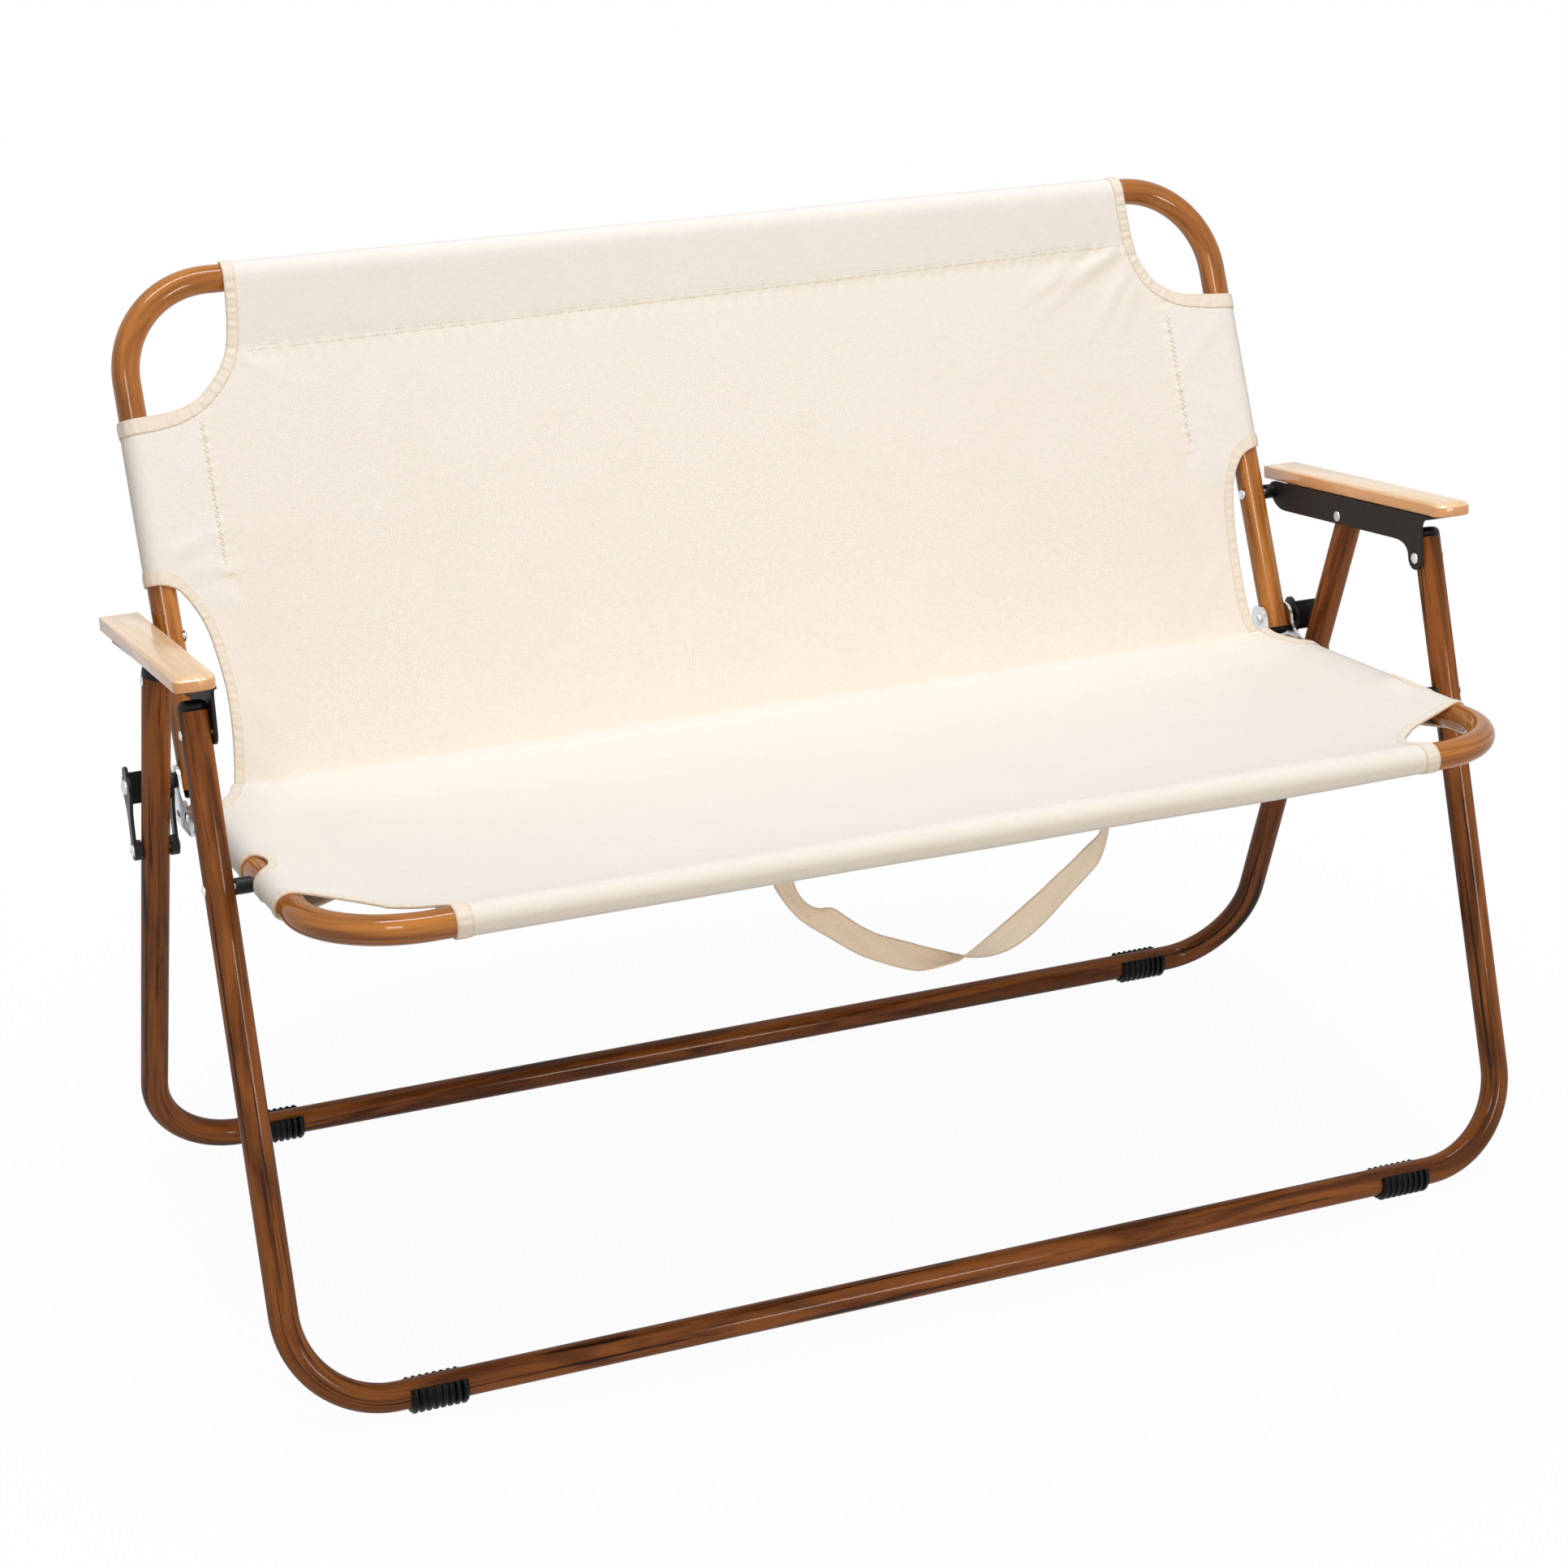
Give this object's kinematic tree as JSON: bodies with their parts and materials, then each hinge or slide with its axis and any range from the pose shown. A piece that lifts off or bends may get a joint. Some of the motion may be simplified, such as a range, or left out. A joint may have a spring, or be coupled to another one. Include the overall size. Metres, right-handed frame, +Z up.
{
  "type": "folding camping loveseat",
  "caption": "Low folding two-seat camping bench: wood-grain tube frames, beech armrests, cream canvas sling seat and back, carry strap.",
  "frame": {"origin": "on the ground, at the middle of the bench's outline from side to side and front to back", "axes": "+X across the bench towards the sitter's left, +Y from the seat's front towards the backrest, +Z up"},
  "size_m": [1.0708, 0.5662, 0.7304],
  "materials": {
    "leg_film": "dark walnut wood-grain film on aluminium tube, satin gloss",
    "frame_film": "amber walnut wood-grain film on aluminium tube, satin gloss",
    "black_plastic": "black moulded plastic",
    "foot_rubber": "black ribbed rubber",
    "beech": "clear-lacquered beech",
    "black_steel": "black powder coat, fine texture",
    "zinc": "bright zinc plate",
    "canvas": "cream plain-weave cotton canvas with tan bound edges",
    "webbing": "tan woven cotton webbing"
  },
  "bodies": {
    "front_legs": {"front_leg_frame": "leg_film", "front_leg_cap_left": "black_plastic", "front_leg_cap_right": "black_plastic", "foot_front_left": "foot_rubber", "foot_front_right": "foot_rubber", "front_leg_rivet_left": "zinc", "front_leg_rivet_right": "zinc", "seat_bolt_left": "zinc", "seat_bolt_right": "zinc", "seat_spacer_left": "black_plastic", "seat_spacer_right": "black_plastic"},
    "seat": {"seat_frame": "frame_film", "seat_cap_left": "black_plastic", "seat_cap_right": "black_plastic", "hinge_bracket_left": "zinc", "hinge_bracket_right": "zinc", "hinge_bolt_left": "zinc", "hinge_bolt_right": "zinc", "hinge_spacer_left": "black_plastic", "hinge_spacer_right": "black_plastic", "hinge_rivet_left": "zinc", "hinge_rivet_right": "zinc", "seat_canvas": "canvas", "carry_strap": "webbing"},
    "backrest": {"backrest_frame": "frame_film", "backrest_cap_left": "black_plastic", "backrest_cap_right": "black_plastic", "back_bolt_left": "zinc", "back_bolt_right": "zinc", "back_spacer_left": "black_plastic", "back_spacer_right": "black_plastic", "back_canvas": "canvas"},
    "arm_left": {"armrest_left": "beech", "armrest_bracket_left": "black_steel", "armrest_screw_front_left": "zinc", "armrest_screw_rear_left": "zinc", "armrest_nut_left": "zinc"},
    "arm_right": {"armrest_right": "beech", "armrest_bracket_right": "black_steel", "armrest_screw_front_right": "zinc", "armrest_screw_rear_right": "zinc", "armrest_nut_right": "zinc"},
    "rear_legs": {"rear_leg_frame": "leg_film", "rear_leg_cap_left": "black_plastic", "rear_leg_cap_right": "black_plastic", "foot_rear_left": "foot_rubber", "foot_rear_right": "foot_rubber", "rear_leg_rivet_left": "zinc", "rear_leg_rivet_right": "zinc"},
    "link_left": {"saddle_link_left": "black_steel", "link_rivet_left": "zinc", "link_bolt_left": "zinc"},
    "link_right": {"saddle_link_right": "black_steel", "link_rivet_right": "zinc", "link_bolt_right": "zinc"}
  },
  "joints": [
    {"name": "fold", "type": "hinge", "parent": "front_legs", "child": "seat", "pos_m": [0, -0.11632, 0.374], "axis": [-1, 0, 0], "range_deg": [0, 99.1]},
    {"name": "backrest_fold", "type": "hinge", "parent": "seat", "child": "backrest", "pos_m": [0, 0.10341, 0.3723], "axis": [1, 0, 0], "range_deg": [0, 101.2]},
    {"name": "arm_left_fold", "type": "hinge", "parent": "front_legs", "child": "arm_left", "pos_m": [-0.5, -0.07659, 0.4785], "axis": [-1, 0, 0], "range_deg": [0, 98]},
    {"name": "arm_right_fold", "type": "hinge", "parent": "front_legs", "child": "arm_right", "pos_m": [0.5, -0.07659, 0.4785], "axis": [-1, 0, 0], "range_deg": [0, 98]},
    {"name": "rear_legs_fold", "type": "hinge", "parent": "arm_left", "child": "rear_legs", "pos_m": [0, 0.04391, 0.479], "axis": [1, 0, 0], "range_deg": [0, 59.6]},
    {"name": "link_left_fold", "type": "hinge", "parent": "rear_legs", "child": "link_left", "pos_m": [-0.513, 0.09346, 0.3234], "axis": [-1, 0, 0], "range_deg": [0, 133.4]},
    {"name": "link_right_fold", "type": "hinge", "parent": "rear_legs", "child": "link_right", "pos_m": [0.513, 0.09346, 0.3234], "axis": [-1, 0, 0], "range_deg": [0, 133.4]}
  ],
  "couplings": [
    {"joint": "backrest_fold", "follows": "fold", "ratio": 1.0204},
    {"joint": "arm_left_fold", "follows": "fold", "ratio": 0.98852},
    {"joint": "arm_right_fold", "follows": "fold", "ratio": 0.98852},
    {"joint": "rear_legs_fold", "follows": "fold", "ratio": 0.60035},
    {"joint": "link_left_fold", "follows": "fold", "ratio": 1.3451},
    {"joint": "link_right_fold", "follows": "fold", "ratio": 1.3451}
  ]
}
